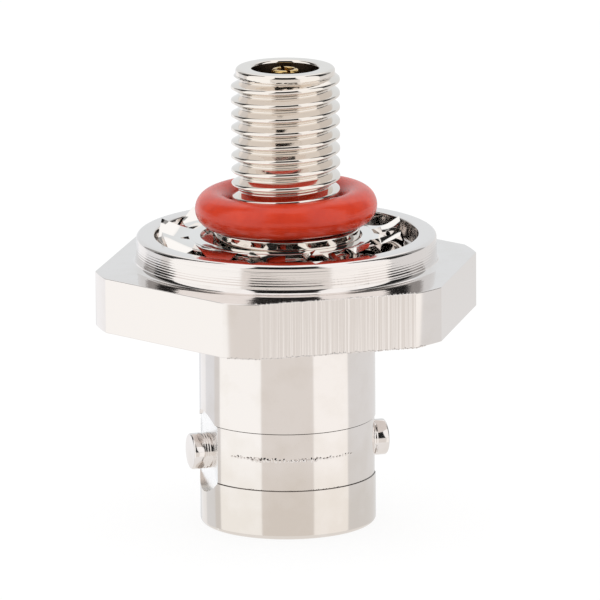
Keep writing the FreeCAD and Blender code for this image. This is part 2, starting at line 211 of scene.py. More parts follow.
shell_outline = rounded([
    (SOCKET, 0, 0.15 * MM),
    (BARREL, 0, 0.25 * MM),
    (BARREL, BAND_LOW - BAND_BEVEL, 0),
    (BAND, BAND_LOW, 0),
    (BAND, BAND_HIGH - BAND_BEVEL, 0),
    (BAND - BAND_UNDERCUT, BAND_HIGH, 0),
    (BARREL, BAND_HIGH, 0),
    (BARREL, FLANGE_FOOT, 0.10 * MM),
    (CORNER, FLANGE_FOOT, FLANGE_EDGE),
    (CORNER, FLANGE_TOP, FLANGE_EDGE),
    (COLLAR, FLANGE_TOP, COLLAR_FILLET),
    *collar_lines,
    (COLLAR, COLLAR_TOP, 0.22 * MM),
    (RECESS, COLLAR_TOP, 0.10 * MM),
    (RECESS, RECESS_FLOOR, 0.10 * MM),
    (INSERT_BORE, RECESS_FLOOR, 0),
    (INSERT_BORE, SHELF_TOP, 0),
    (BOSS_HOLE, SHELF_TOP, 0),
    (BOSS_HOLE, SOCKET_TOP, 0),
    (SOCKET, SOCKET_TOP, 0),
])
shell = show("adapter_shell", turned("adapter_shell", shell_outline, shell_angles, flange_reach))

# Each lug stands in a round pocket with a flat floor, milled into the barrel's side. The tool
# that rounds the lug leaves rings on it.
POCKET = 2.25 * MM
POCKET_FLOOR = BARREL - 0.32 * MM
POCKET_CUTTER_END = 7 * MM
LUG = 0.985 * MM
LUG_REACH = BARREL + 0.75 * MM
LUG_SUNK = POCKET_FLOOR - 0.25 * MM
TOOL_RINGS = 7
TOOL_RING = 0.025 * MM
TOOL_RING_PITCH_MM = 0.07
TOOL_RINGS_FOOT_MM = 0.06
LUG_SIDES = 160
lug_side = []
for step in range(TOOL_RINGS):
    rise = (TOOL_RINGS_FOOT_MM + TOOL_RING_PITCH_MM * step) * MM
    lug_side.append((LUG - TOOL_RING * (step % 2), POCKET_FLOOR + rise, 0))
lug_tools = {
    "pocket": ("DIFFERENCE", [
        (0, POCKET_FLOOR, 0),
        (POCKET, POCKET_FLOOR, 0),
        (POCKET, POCKET_CUTTER_END, 0),
        (0, POCKET_CUTTER_END, 0),
    ]),
    "lug": ("UNION", [
        (0, LUG_SUNK, 0),
        (LUG, LUG_SUNK, 0),
        *lug_side,
        (LUG, LUG_REACH, 0.12 * MM),
        (0, LUG_REACH, 0),
    ]),
}
for side in (1, -1):
    sideways = Matrix.Translation((0, 0, LUG_HEIGHT)) @ Matrix.Rotation(side * math.pi / 2, 4, "Y")
    for name, (operation, corners) in lug_tools.items():
        cutter = show(name, turned(name, rounded(corners), round_angles(LUG_SIDES)))
        cutter.data.transform(sideways)
        worked(shell, operation, cutter)


def tree(name, **sizes):
    """An empty node tree with a geometry input and output and one named input for each size."""
    made = bpy.data.node_groups.new(name, "GeometryNodeTree")
    made.interface.new_socket("Geometry", in_out="OUTPUT", socket_type="NodeSocketGeometry")
    made.interface.new_socket("Geometry", in_out="INPUT", socket_type="NodeSocketGeometry")
    for size, value in sizes.items():
        kind = "NodeSocketInt" if isinstance(value, int) else "NodeSocketFloat"
        made.interface.new_socket(size, in_out="INPUT", socket_type=kind)
    return made, made.nodes.new("NodeGroupInput"), made.nodes.new("NodeGroupOutput")


def grow(piece, made, **sizes):
    """Runs a tree on the piece with these sizes, and works the result into its mesh."""
    growing = piece.modifiers.new(made.name, "NODES")
    growing.node_group = made
    for socket in made.interface.items_tree:
        if socket.name in sizes:
            growing[socket.identifier] = sizes[socket.name]
    return applied(piece)


def new_node(nodes, kind, inputs=None, **settings):
    """A node with these settings and these values on its inputs."""
    node = nodes.new(kind)
    for name, value in settings.items():
        setattr(node, name, value)
    for socket, value in (inputs or {}).items():
        node.inputs[socket].default_value = value
    return node


def in_line(made, *nodes):
    """Passes the geometry from each node to the next."""
    for before, after in zip(nodes, nodes[1:]):
        made.links.new(before.outputs[0], after.inputs[0])


def end_tree(made, last, material, result):
    """The tree's shapes become one mesh with this material."""
    realise = made.nodes.new("GeometryNodeRealizeInstances")
    finish = new_node(made.nodes, "GeometryNodeSetMaterial", {"Material": material})
    in_line(made, last, realise, finish, result)


class Amount:
    """A node's output that sums are done with. Each sign adds an arithmetic node to its tree."""

    def __init__(self, made, socket):
        self.made = made
        self.socket = socket

    def do(self, operation, *others):
        return calculate(self.made, operation, self, *others)

    def __add__(self, other):
        return self.do("ADD", other)

    def __sub__(self, other):
        return self.do("SUBTRACT", other)

    def __rsub__(self, other):
        return calculate(self.made, "SUBTRACT", other, self)

    def __mul__(self, other):
        return self.do("MULTIPLY", other)

    def __truediv__(self, other):
        return self.do("DIVIDE", other)

    def __neg__(self):
        return self.do("MULTIPLY", -1.0)

    def __abs__(self):
        return self.do("ABSOLUTE")


def feed(made, term, socket):
    """Gives an input a plain number, an amount or another node's output."""
    if isinstance(term, (int, float)):
        socket.default_value = term
    else:
        made.links.new(getattr(term, "socket", term), socket)


def calculate(made, operation, *terms):
    node = new_node(made.nodes, "ShaderNodeMath", operation=operation)
    for term, socket in zip(terms, node.inputs):
        feed(made, term, socket)
    return Amount(made, node.outputs[0])


def split(made, vector):
    """The three amounts of a vector."""
    apart = made.nodes.new("ShaderNodeSeparateXYZ")
    made.links.new(vector, apart.inputs[0])
    return [Amount(made, socket) for socket in apart.outputs]


def point(made, *terms):
    """A vector of up to three amounts or numbers."""
    together = made.nodes.new("ShaderNodeCombineXYZ")
    for term, socket in zip(terms, together.inputs):
        feed(made, term, socket)
    return together.outputs[0]


def new_material(name):
    material = bpy.data.materials.new(name)
    material.use_nodes = True
    made = material.node_tree
    return material, made, made.nodes["Principled BSDF"]


def object_place(made):
    """Where a point lies on its piece."""
    return made.nodes.new("ShaderNodeTexCoord").outputs["Object"]


def noise(made, place, scale, detail=2.0, stretch=None):
    """Cloudy pattern of so many patches a metre, or stretched by its own scale on each axis."""
    pattern = new_node(made.nodes, "ShaderNodeTexNoise", {"Scale": scale, "Detail": detail})
    if stretch:
        mapping = new_node(made.nodes, "ShaderNodeMapping", {"Scale": stretch})
        made.links.new(place, mapping.inputs["Vector"])
        place = mapping.outputs["Vector"]
    made.links.new(place, pattern.inputs["Vector"])
    return pattern.outputs["Fac"]


def raised(made, surface, pattern, depth):
    """Bumps of this depth on the surface."""
    bump = new_node(made.nodes, "ShaderNodeBump", {"Strength": 1.0, "Distance": depth})
    made.links.new(pattern, bump.inputs["Height"])
    made.links.new(bump.outputs["Normal"], surface.inputs["Normal"])


def nickel(name, colour, roughness, depth, rings=0, strokes=None):
    """Plated metal. Its tool marks run round the axis, so many rings a metre, or follow strokes."""
    material, made, surface = new_material(name)
    place = object_place(made)
    surface.inputs["Metallic"].default_value = 1.0
    surface.inputs["Base Color"].default_value = (*colour, 1.0)
    if rings:
        across, along_depth, height = split(made, place)
        out = new_node(made.nodes, "ShaderNodeVectorMath", operation="LENGTH")
        made.links.new(point(made, across, along_depth), out.inputs[0])
        profile = point(made, out.outputs["Value"], height)
        marks = noise(made, profile, rings, detail=3.0)
    else:
        marks = noise(made, place, 1.0, detail=3.0, stretch=strokes)
    haze = noise(made, place, 1200.0, detail=4.0)
    gloss = new_node(made.nodes, "ShaderNodeMapRange", {
        "To Min": roughness * 0.7,
        "To Max": roughness * 1.3,
    })
    made.links.new(haze, gloss.inputs["Value"])
    made.links.new(gloss.outputs["Result"], surface.inputs["Roughness"])
    raised(made, surface, marks, depth)
    return material


PLATE = (0.82, 0.775, 0.75)
# A darker, warmer copy of the plate, for painted shade near the mouth and for faint mottling
SHADED_MOTTLED_PLATE = (0.735, 0.68, 0.63)
PAINTED_SHADE_HEIGHT = 6.5 * MM
satin_nickel = nickel("satin_nickel", PLATE, roughness=0.09, depth=0.15e-6, rings=7000)

# Painted shade darkens and warms the plate towards the barrel's mouth, for the dim table it
# reflects; faint patches are mottling
made = satin_nickel.node_tree
place = object_place(made)
painted_shade_lift = new_node(
    made.nodes, "ShaderNodeMapRange", {"From Max": PAINTED_SHADE_HEIGHT}, interpolation_type="SMOOTHSTEP"
)
feed(made, split(made, place)[2], painted_shade_lift.inputs["Value"])
patches = new_node(made.nodes, "ShaderNodeMapRange", {
    "From Min": 0.3, "From Max": 0.7, "To Min": -0.35, "To Max": 0.25,
})
feed(made, noise(made, place, 800.0, detail=6.0), patches.inputs["Value"])
shade_and_mottle = Amount(made, patches.outputs["Result"]) + painted_shade_lift.outputs["Result"]
plate_colour = new_node(
    made.nodes, "ShaderNodeMix", {6: (*SHADED_MOTTLED_PLATE, 1), 7: (*PLATE, 1)}, data_type="RGBA"
)
feed(made, shade_and_mottle, plate_colour.inputs["Factor"])
feed(made, plate_colour.outputs[2], made.nodes["Principled BSDF"].inputs["Base Color"])

# Milling leaves tiny burrs along the edges of the front flat and in a line round the barrel.
# Each line: from and to in degrees, height, radius, count, largest bead and how far astray.
BURRS = [
    (236, 298, FLANGE_FOOT + 0.01 * MM, CORNER - 0.01 * MM, 110, 0.065 * MM, 0.030 * MM),
    (244, 294, FLANGE_TOP, CORNER - 0.02 * MM, 90, 0.055 * MM, 0.030 * MM),
    (214, 300, BAND_MIDDLE + 0.13 * MM, BAND - 0.040 * MM, 36, 0.130 * MM, 0.020 * MM),
    (230, 272, BAND_MIDDLE + 0.08 * MM, BAND - 0.050 * MM, 17, 0.190 * MM, 0.020 * MM),
    (222, 290, BAND_LOW - 0.03 * MM, BAND - 0.01 * MM, 60, 0.055 * MM, 0.020 * MM),
]
BURR_PATH_STEPS = 60
SMALLEST_BEAD = (0.35, 0.35, 0.35)
LARGEST_BEAD = (1.0, 1.0, 1.0)
made, given, result = tree("burrs", count=1, bead=0.03 * MM, spread=0.02 * MM, seed=1)
size = given.outputs
to_curve = made.nodes.new("GeometryNodeMeshToCurve")
spacing = made.nodes.new("GeometryNodeResampleCurve")
scatter = made.nodes.new("GeometryNodeSetPosition")
astray = new_node(made.nodes, "FunctionNodeRandomValue", data_type="FLOAT_VECTOR")
bead_size = new_node(
    made.nodes, "FunctionNodeRandomValue", {0: SMALLEST_BEAD, 1: LARGEST_BEAD},
    data_type="FLOAT_VECTOR",
)
backwards = new_node(made.nodes, "ShaderNodeVectorMath", {0: (-1, -1, -1)}, operation="SCALE")
scaled = new_node(made.nodes, "ShaderNodeVectorMath", operation="SCALE")
bead = new_node(made.nodes, "GeometryNodeMeshIcoSphere", {"Radius": 1.0, "Subdivisions": 2})
place_beads = made.nodes.new("GeometryNodeInstanceOnPoints")
for source, target in (
    (size["count"], spacing.inputs["Count"]),
    (size["spread"], backwards.inputs["Scale"]),
    (backwards.outputs[0], astray.inputs[0]),
    (size["spread"], astray.inputs[1]),
    (size["seed"], astray.inputs["Seed"]),
    (size["seed"], bead_size.inputs["Seed"]),
    (astray.outputs[0], scatter.inputs["Offset"]),
    (bead_size.outputs[0], scaled.inputs[0]),
    (size["bead"], scaled.inputs["Scale"]),
    (bead.outputs["Mesh"], place_beads.inputs["Instance"]),
    (scaled.outputs[0], place_beads.inputs["Scale"]),
):
    made.links.new(source, target)
in_line(made, given, to_curve, spacing, scatter, place_beads)
end_tree(made, place_beads, satin_nickel, result)
burr_tree = made

shell_parts = [shell.data]
for seed, (start, end, level, radius, count, largest, spread) in enumerate(BURRS):
    path = bmesh.new()
    stops = []
    for step in range(BURR_PATH_STEPS + 1):
        angle = math.radians(start + (end - start) * step / BURR_PATH_STEPS)
        stops.append(path.verts.new(at_angle(flange_reach(radius, angle), angle, level)))
    for first, second in zip(stops, stops[1:]):
        path.edges.new((first, second))
    burrs = show("burrs", mesh_of("burr_path", path))
    grow(burrs, burr_tree, count=count, bead=largest, spread=spread, seed=seed)
    shell_parts.append(burrs.data)
    bpy.data.objects.remove(burrs)
shell.data = joined("adapter_shell", *shell_parts)
smoothed(shell.data)

# The tools leave their own finish on the flats, the collar and the pockets. The band's edges are
# painted shade
SHADE_PLATE = (0.16, 0.14, 0.13)
LIT_PLATE = (0.99, 0.98, 0.97)
UPRIGHT = 0.1
FLATS_START = COLLAR + 0.5 * MM
FLATS_END = CORNER - 0.01 * MM
COLLAR_START = RECESS + 0.05 * MM
EDGE_BELOW, EDGE_ABOVE = -0.055 * MM, 0.004 * MM
FLOOR_MARGIN = 0.002 * MM
milled_strokes = (6000, 6000, 60)
floor_strokes = (9000, 9000, 9000)
shell_finishes = {
    "plain": satin_nickel,
    "flat": nickel("milled_nickel", PLATE, roughness=0.08, depth=5.0e-6, strokes=milled_strokes),
    "collar": nickel("turned_nickel", PLATE, roughness=0.10, depth=1.0e-6, rings=6500),
    "edge": nickel("painted_shade_edge", SHADE_PLATE, roughness=0.30, depth=1.0e-6, rings=6500),
    "floor": nickel(
        "lit_milled_floor", LIT_PLATE, roughness=0.30, depth=0.3e-6, strokes=floor_strokes
    ),
}
finish_number = {finish: number for number, finish in enumerate(shell_finishes)}


def shell_finish(face):
    out = math.hypot(face.center.x, face.center.y)
    height = face.center.z
    if FLATS_START < out < FLATS_END and abs(face.normal.z) < UPRIGHT:
        return "flat"
    if height > FLANGE_TOP + COLLAR_FILLET and out > COLLAR_START:
        return "collar"
    # Painted shade: the faces at each of the band's two steps take the near-black plate
    at_edge = any(EDGE_BELOW < height - edge < EDGE_ABOVE for edge in (BAND_LOW, BAND_HIGH))
    if at_edge and out > BAND - 2 * BAND_UNDERCUT:
        return "edge"
    # The pocket floors are rougher from their milling, and whiter than the plate elsewhere, which
    # is painted light
    if abs(abs(face.center.x) - POCKET_FLOOR) < FLOOR_MARGIN and height < FLANGE_FOOT:
        return "floor"
    return "plain"


for finish in shell_finishes.values():
    shell.data.materials.append(finish)
for face in shell.data.polygons:
    face.material_index = finish_number[shell_finish(face)]
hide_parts("shell")
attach(shell, "root")

# Stud insert: turned brass with a bright nickel plate, pressed into the flange. The hub in the
# recess carries the washer and the ring, and above it runs an M6 fine thread.
HUB = 4.00 * MM
HUB_TOP = RECESS_FLOOR + 1.50 * MM
STUD_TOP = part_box("stud")[1].z
STUD_RIM = 0.18 * MM
SPIGOT_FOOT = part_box("stud")[0].z
SPIGOT = 3.45 * MM
CREST = 2.96 * MM
PITCH = 0.7635 * MM
CREST_ROUND = 0.135 * MM
ROOT_ROUND = 0.066 * MM
SLOPE = math.tan(math.pi / 3)
SLOPE_SINE = math.sin(math.pi / 3)
THREAD_DEPTH = PITCH / 2 * SLOPE - CREST_ROUND - ROOT_ROUND
ROOT = CREST - THREAD_DEPTH
LEAD = CREST - 0.26 * MM
LEAD_FOOT = STUD_TOP - 0.35 * MM
THREAD_HEAD = STUD_TOP - STUD_RIM
THREAD_FOOT = HUB_TOP + 0.95 * MM
HEAD_RUNOUT = 0.28 * MM
FOOT_RUNOUT = 0.46 * MM
STUD_BORE = 1.82 * MM
BORE_EDGE = 0.01 * MM
CREST_AT_RIGHT = FLANGE_TOP + 10.13 * MM
VIEW_AZIMUTH = math.radians(-16.44)
STUD_SIDES = 192
ROWS_A_TURN = 40

stud_turning = rounded([
    (LEAD, THREAD_HEAD, 0),
    (LEAD, STUD_TOP, STUD_RIM),
    (STUD_BORE, STUD_TOP, 0.14 * MM),
    (STUD_BORE, SPIGOT_FOOT, 0),
    (SPIGOT, SPIGOT_FOOT, 0.25 * MM),
    (SPIGOT, RECESS_FLOOR, 0),
    (HUB, RECESS_FLOOR, 0),
    (HUB, HUB_TOP, 0.12 * MM),
    (ROOT, HUB_TOP, 0),
    (ROOT, THREAD_FOOT, 0),
])


def sizes_of(made, given):
    """A tree's named inputs as amounts."""
    return {socket.name: Amount(made, socket) for socket in given.outputs if socket.name}


def position(made):
    return split(made, made.nodes.new("GeometryNodeInputPosition").outputs[0])


# Thread: a grid wrapped round the stud. Its rows climb one pitch a turn, and the radius
# follows a 60 degree vee with a rounded crest and root, which runs out at both ends.
bright_nickel = nickel(
    "bright_nickel", (0.83, 0.775, 0.72), roughness=0.06, depth=0.12e-6, rings=9000
)
thread_sizes = dict(
    foot=THREAD_FOOT,
    head=THREAD_HEAD,
    cone=LEAD_FOOT,
    pitch=PITCH,
    crest=CREST,
    depth=THREAD_DEPTH,
    lead=LEAD,
    crest_round=CREST_ROUND,
    root_round=ROOT_ROUND,
    start=CREST_AT_RIGHT - PITCH * VIEW_AZIMUTH / (2 * math.pi),
    sides=STUD_SIDES,
    rows=math.ceil((THREAD_HEAD - THREAD_FOOT + PITCH) / PITCH * ROWS_A_TURN),
)
made, given, result = tree("thread_turns", **thread_sizes)
size = sizes_of(made, given)
grid = new_node(made.nodes, "GeometryNodeMeshGrid", {"Size X": 1.0, "Size Y": 1.0})
feed(made, size["sides"] + 1, grid.inputs["Vertices X"])
feed(made, size["rows"] + 1, grid.inputs["Vertices Y"])
grid_x, grid_y = position(made)[:2]
round_share = grid_x + 0.5
row_share = grid_y + 0.5
climb = size["pitch"] * round_share
row_rise = size["pitch"] / float(ROWS_A_TURN)
unended = size["foot"] - size["pitch"] + (row_share * size["rows"] * row_rise + climb)
height = unended.do("MINIMUM", size["head"]).do("MAXIMUM", size["foot"])
turns = (height - size["start"] - climb) / size["pitch"]
off_turn = turns - turns.do("ROUND")
below = off_turn.do("LESS_THAN", 0.0)
off_crest = abs(off_turn) * size["pitch"]
off_root = size["pitch"] * 0.5 - off_crest


def bend(round_radius, off):
    """How far a round corner of the 60 degree profile has bent back, and over what height."""
    reach = off.do("MINIMUM", round_radius * SLOPE_SINE)
    return round_radius - (round_radius * round_radius - reach * reach).do("SQRT"), reach


crest_bend, crest_reach = bend(size["crest_round"], off_crest)
root_bend, root_reach = bend(size["root_round"], off_root)
root_span = size["root_round"] * SLOPE_SINE
straight = off_crest - crest_reach - (root_span - root_reach)
groove = crest_bend + straight * SLOPE + (size["root_round"] * 0.5 - root_bend)

# The die leaves a sharper edge on the crest's lower side, where only the corner is broken
BROKEN_EDGE = 0.05 * MM
SHARP_SHARE = 0.4
vee = off_crest * SLOPE
lower = (vee - size["crest_round"]).do("SMOOTH_MAX", 0.0, BROKEN_EDGE)
lower = lower.do("MINIMUM", groove.do("MAXIMUM", size["depth"] * SHARP_SHARE))
groove = groove + below * (lower - groove)


def from_nought_to_one(amount):
    return amount.do("MAXIMUM", 0.0).do("MINIMUM", 1.0)


head_fade = from_nought_to_one((size["head"] - height) / HEAD_RUNOUT)
foot_rise = from_nought_to_one((height - size["foot"]) / FOOT_RUNOUT)
cut_radius = size["crest"] - groove * head_fade
lead_cone = size["lead"] + (size["cone"] - height).do("MAXIMUM", 0.0)
foot_cone = size["crest"] - size["depth"] + foot_rise * size["depth"]
radius = cut_radius.do("MINIMUM", lead_cone.do("MINIMUM", foot_cone))
angle = round_share * (2 * math.pi)
wrap = made.nodes.new("GeometryNodeSetPosition")
wrapped = point(made, radius * angle.do("COSINE"), radius * angle.do("SINE"), height)
made.links.new(wrapped, wrap.inputs["Position"])
close = new_node(made.nodes, "GeometryNodeMergeByDistance", {"Distance": SEAM_GAP})
in_line(made, grid, wrap, close)
end_tree(made, close, bright_nickel, result)

thread = grow(show("thread", bpy.data.meshes.new("thread")), made, **thread_sizes)
insert = turned("stud_turning", stud_turning, round_angles(STUD_SIDES), closed=False)
stud = show("threaded_stud", joined("threaded_stud", insert, thread.data))
bpy.data.objects.remove(thread)
smoothed(stud.data, sharp_from=35)
stud.data.materials.append(bright_nickel)
# Painted shade: the bore's wall below the thread's head takes a near-black plate, for the shade
# deep in the bore
stud.data.materials.append(
    nickel("painted_shade_bore", (0.10, 0.07, 0.05), roughness=0.35, depth=0.4e-6, rings=5000)
)
for face in stud.data.polygons:
    out = math.hypot(face.center.x, face.center.y)
    in_bore = out < STUD_BORE + BORE_EDGE and face.center.z < THREAD_HEAD
    face.material_index = 1 if in_bore else 0
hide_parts("stud")
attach(stud, "root")

# Lock washer: stamped from strip with outer teeth, each twisted on its own radius, and nickel
# plated. It lies loose in the recess, to one side of the hub.
TEETH = 12
WASHER_PLAY = 0.40 * MM
WASHER_BORE = HUB + WASHER_PLAY
WASHER_ROOT = WASHER_BORE + 0.65 * MM
WASHER_TIP = RECESS - WASHER_PLAY - 0.07 * MM
WASHER_THICKNESS = 0.40 * MM
TOOTH_INSIDE_RING = 0.25 * MM
TOOTH_THICKNESS = 0.35 * MM
TOOTH_ROOT = 1.70 * MM
TOOTH_TIP = 2.10 * MM
TOOTH_TWIST = math.radians(-36.0)
TWIST_EASE = 1.6
WASHER_SIDES = 240
washer_low, washer_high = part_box("lock_washer")
WASHER_MIDDLE = (washer_low.z + washer_high.z) / 2
WASHER_TURN = math.radians(6.00)
WASHER_HEADING = math.radians(118.60)
WASHER_SHIFT = WASHER_PLAY - 0.01 * MM
HALF_STRIP = WASHER_THICKNESS / 2
washer_outline = rounded([
    (WASHER_BORE, -HALF_STRIP, 0.04 * MM),
    (WASHER_ROOT, -HALF_STRIP, 0.06 * MM),
    (WASHER_ROOT, HALF_STRIP, 0.06 * MM),
    (WASHER_BORE, HALF_STRIP, 0.04 * MM),
], steps=4)
washer_nickel = nickel(
    "washer_nickel", (0.86, 0.83, 0.80), roughness=0.05, depth=0.8e-6, strokes=(2500, 2500, 2500)
)
tooth_sizes = dict(
    teeth=TEETH,
    inner=WASHER_ROOT - TOOTH_INSIDE_RING,
    tip=WASHER_TIP,
    thickness=TOOTH_THICKNESS,
    root_width=TOOTH_ROOT,
    tip_width=TOOTH_TIP,
    twist=TOOTH_TWIST,
)
made, given, result = tree("twisted_teeth", **tooth_sizes)
size = sizes_of(made, given)
blank = new_node(made.nodes, "GeometryNodeMeshCube", {
    "Size": (1, 1, 1), "Vertices X": 16, "Vertices Y": 14, "Vertices Z": 4,
})
blank_x, blank_y, blank_z = position(made)
share = blank_x + 0.5
across = blank_y * (size["root_width"] + share * (size["tip_width"] - size["root_width"]))
up = blank_z * size["thickness"]
turn = size["twist"] * share.do("POWER", TWIST_EASE)
sine = turn.do("SINE")
cosine = turn.do("COSINE")
side_place = across * cosine - up * sine
up_place = across * sine + up * cosine
edge = (size["tip"] * size["tip"] - side_place * side_place).do("SQRT")
out_place = size["inner"] + share * (edge - size["inner"])
twist = made.nodes.new("GeometryNodeSetPosition")
made.links.new(point(made, out_place, side_place, up_place), twist.inputs["Position"])
in_line(made, blank, twist)

# Each tooth keeps the heading that its place on a circle gives it
circle = new_node(made.nodes, "GeometryNodeMeshCircle", {"Radius": 1.0})
circle_x, circle_y = position(made)[:2]
keep_heading = new_node(
    made.nodes, "GeometryNodeStoreNamedAttribute", {"Name": "heading"}, data_type="FLOAT"
)
read_heading = new_node(
    made.nodes, "GeometryNodeInputNamedAttribute", {"Name": "heading"}, data_type="FLOAT"
)
centred = made.nodes.new("GeometryNodeSetPosition")
spread = made.nodes.new("GeometryNodeInstanceOnPoints")
together = made.nodes.new("GeometryNodeJoinGeometry")
feed(made, size["teeth"], circle.inputs["Vertices"])
feed(made, circle_y.do("ARCTAN2", circle_x), keep_heading.inputs["Value"])
feed(made, point(made, 0, 0, 0), centred.inputs["Position"])
feed(made, twist.outputs["Geometry"], spread.inputs["Instance"])
feed(made, point(made, 0, 0, read_heading.outputs["Attribute"]), spread.inputs["Rotation"])
in_line(made, circle, keep_heading, centred, spread)
in_line(made, given, together)
in_line(made, spread, together)
end_tree(made, together, washer_nickel, result)
washer = show("star_washer", turned("star_washer", washer_outline, round_angles(WASHER_SIDES)))
grow(washer, made, **tooth_sizes)
washer_place = Vector((math.cos(WASHER_HEADING), math.sin(WASHER_HEADING), 0)) * WASHER_SHIFT
washer_place.z = WASHER_MIDDLE
washer.data.transform(Matrix.Translation(washer_place) @ Matrix.Rotation(WASHER_TURN, 4, "Z"))
smoothed(washer.data, sharp_from=30)
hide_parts("lock_washer")
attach(washer, "root")

# O-ring: moulded in red silicone, with a faint parting line. It lies on the hub round the foot
# of the thread, a little askew.
RING_SECTION = 0.99 * MM
RING = CREST + 0.01 * MM + RING_SECTION
RING_TILT = math.radians(-1.30)
TILT_HEADING = math.radians(73.6)
PARTING_RIDGE = 0.006 * MM
PARTING_WIDTH = 0.05
RING_SIDES = 256
RING_SECTION_SIDES = 96
ring_low, ring_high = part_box("o_ring")
ring_middle = (ring_low + ring_high) / 2
ring_outline = []
for section_angle in round_angles(RING_SECTION_SIDES):
    ridge = PARTING_RIDGE * math.exp(-((math.sin(section_angle) / PARTING_WIDTH) ** 2))
    ring_outline.append(Vector((
        RING + (RING_SECTION + ridge) * math.cos(section_angle),
        (RING_SECTION + ridge) * math.sin(section_angle),
    )))
o_ring = show("sealing_ring", turned("sealing_ring", ring_outline, round_angles(RING_SIDES)))
tilt_axis = Vector((math.cos(TILT_HEADING), math.sin(TILT_HEADING), 0))
tilted = Matrix.Rotation(RING_TILT, 4, tilt_axis)
o_ring.data.transform(Matrix.Translation((0, 0, ring_middle.z)) @ tilted)
smoothed(o_ring.data, sharp_from=40)

DEEP_RED = (0.63, 0.034, 0.009, 1)
LIGHT_RED = (0.76, 0.052, 0.014, 1)
red_silicone, made, surface = new_material("red_silicone")
place = object_place(made)
surface.inputs["Roughness"].default_value = 0.25
surface.inputs["Specular IOR Level"].default_value = 0.5
tone = made.nodes.new("ShaderNodeValToRGB")
for element, stop, colour in zip(tone.color_ramp.elements, (0.3, 0.7), (DEEP_RED, LIGHT_RED)):
    element.position = stop
    element.color = colour
feed(made, noise(made, place, 900.0, detail=5.0), tone.inputs["Fac"])
feed(made, tone.outputs["Color"], surface.inputs["Base Color"])
streaks = noise(made, place, 1.0, stretch=(450, 450, 4500))
raised(made, surface, streaks, depth=2.2e-5)
o_ring.data.materials.append(red_silicone)
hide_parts("o_ring")
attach(o_ring, "root")

# Insulators: turned from white PTFE. One stands in the barrel round the contact and is trapped
# under the insert, and the other is a sleeve in the stud's bore.
BOSS = 2.40 * MM
CONTACT = 1.05 * MM
CONTACT_COLLAR = 1.60 * MM
CONTACT_PIN_END = 6.35 * MM
COLLAR_SEAT = SPIGOT_FOOT - 0.80 * MM
STUD_CONTACT = 0.725 * MM
FIT = 0.01 * MM
SOCKET_ROOM = 0.08 * MM
INSULATOR_SIDES = 128
boss_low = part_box("barrel_insulator")[0].z
sleeve_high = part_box("stud_insulator")[1].z
white_ptfe, made, surface = new_material("white_ptfe")
place = object_place(made)
surface.inputs["Base Color"].default_value = (0.86, 0.86, 0.84, 1)
surface.inputs["Roughness"].default_value = 0.42
surface.inputs["Subsurface Weight"].default_value = 0.2
surface.inputs["Subsurface Scale"].default_value = 0.3 * MM
turning_marks = noise(made, place, 1.0, stretch=(300, 300, 6000))
raised(made, surface, turning_marks, depth=2e-6)
insulators = {
    "barrel_insulator": [
        (CONTACT + SOCKET_ROOM, boss_low, 0.05 * MM),
        (BOSS, boss_low, 0.15 * MM),
        (BOSS, SHELF_TOP, 0),
        (SPIGOT, SHELF_TOP, 0),
        (SPIGOT, SPIGOT_FOOT, 0),
        (CONTACT_COLLAR + FIT, SPIGOT_FOOT, 0),
        (CONTACT_COLLAR + FIT, COLLAR_SEAT, 0),
        (CONTACT + FIT, COLLAR_SEAT, 0),
        (CONTACT + FIT, CONTACT_PIN_END, 0),
        (CONTACT + SOCKET_ROOM, CONTACT_PIN_END, 0),
    ],
    "stud_insulator": [
        (STUD_BORE - FIT, SPIGOT_FOOT, 0),
        (STUD_BORE - FIT, sleeve_high, 0.05 * MM),
        (STUD_CONTACT + FIT, sleeve_high, 0.05 * MM),
        (STUD_CONTACT + FIT, SPIGOT_FOOT, 0),
    ],
}
for node, corners in insulators.items():
    mesh = turned(node, rounded(corners), round_angles(INSULATOR_SIDES))
    insulator = show(f"ptfe_{node}", mesh)
    smoothed(insulator.data)
    insulator.data.materials.append(white_ptfe)
    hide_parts(node)
    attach(insulator, "root")

# Centre contact: turned from brass and gold plated. Both ends are drilled and slotted twice,
# which leaves four spring fingers round each hole.
contact_low, contact_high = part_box("centre_contact")
CONTACT_FOOT = contact_low.z
CONTACT_TOP = contact_high.z
PIN = 0.69 * MM
STUD_PIN = 0.47 * MM
STUD_PIN_END = CONTACT_TOP - 4.20 * MM
DRILL_SLOPE = math.tan(math.radians(31.0))
SAW_OVERRUN = 1 * MM
SAW_REACH = 5 * MM
CONTACT_SIDES = 96
contact_outline = rounded([
    (PIN, CONTACT_FOOT, 0.05 * MM),
    (CONTACT, CONTACT_FOOT, 0.12 * MM),
    (CONTACT, COLLAR_SEAT, 0),
    (CONTACT_COLLAR, COLLAR_SEAT, 0),
    (CONTACT_COLLAR, SPIGOT_FOOT, 0),
    (STUD_CONTACT, SPIGOT_FOOT, 0),
    (STUD_CONTACT, CONTACT_TOP, 0.12 * MM),
    (STUD_PIN, CONTACT_TOP, 0.05 * MM),
    (STUD_PIN, STUD_PIN_END, 0),
    (0, STUD_PIN_END - STUD_PIN * DRILL_SLOPE, 0),
    (0, CONTACT_PIN_END + PIN * DRILL_SLOPE, 0),
    (PIN, CONTACT_PIN_END, 0),
])
turned_contact = turned("gold_contact", contact_outline, round_angles(CONTACT_SIDES))
contact = show("gold_contact", turned_contact)

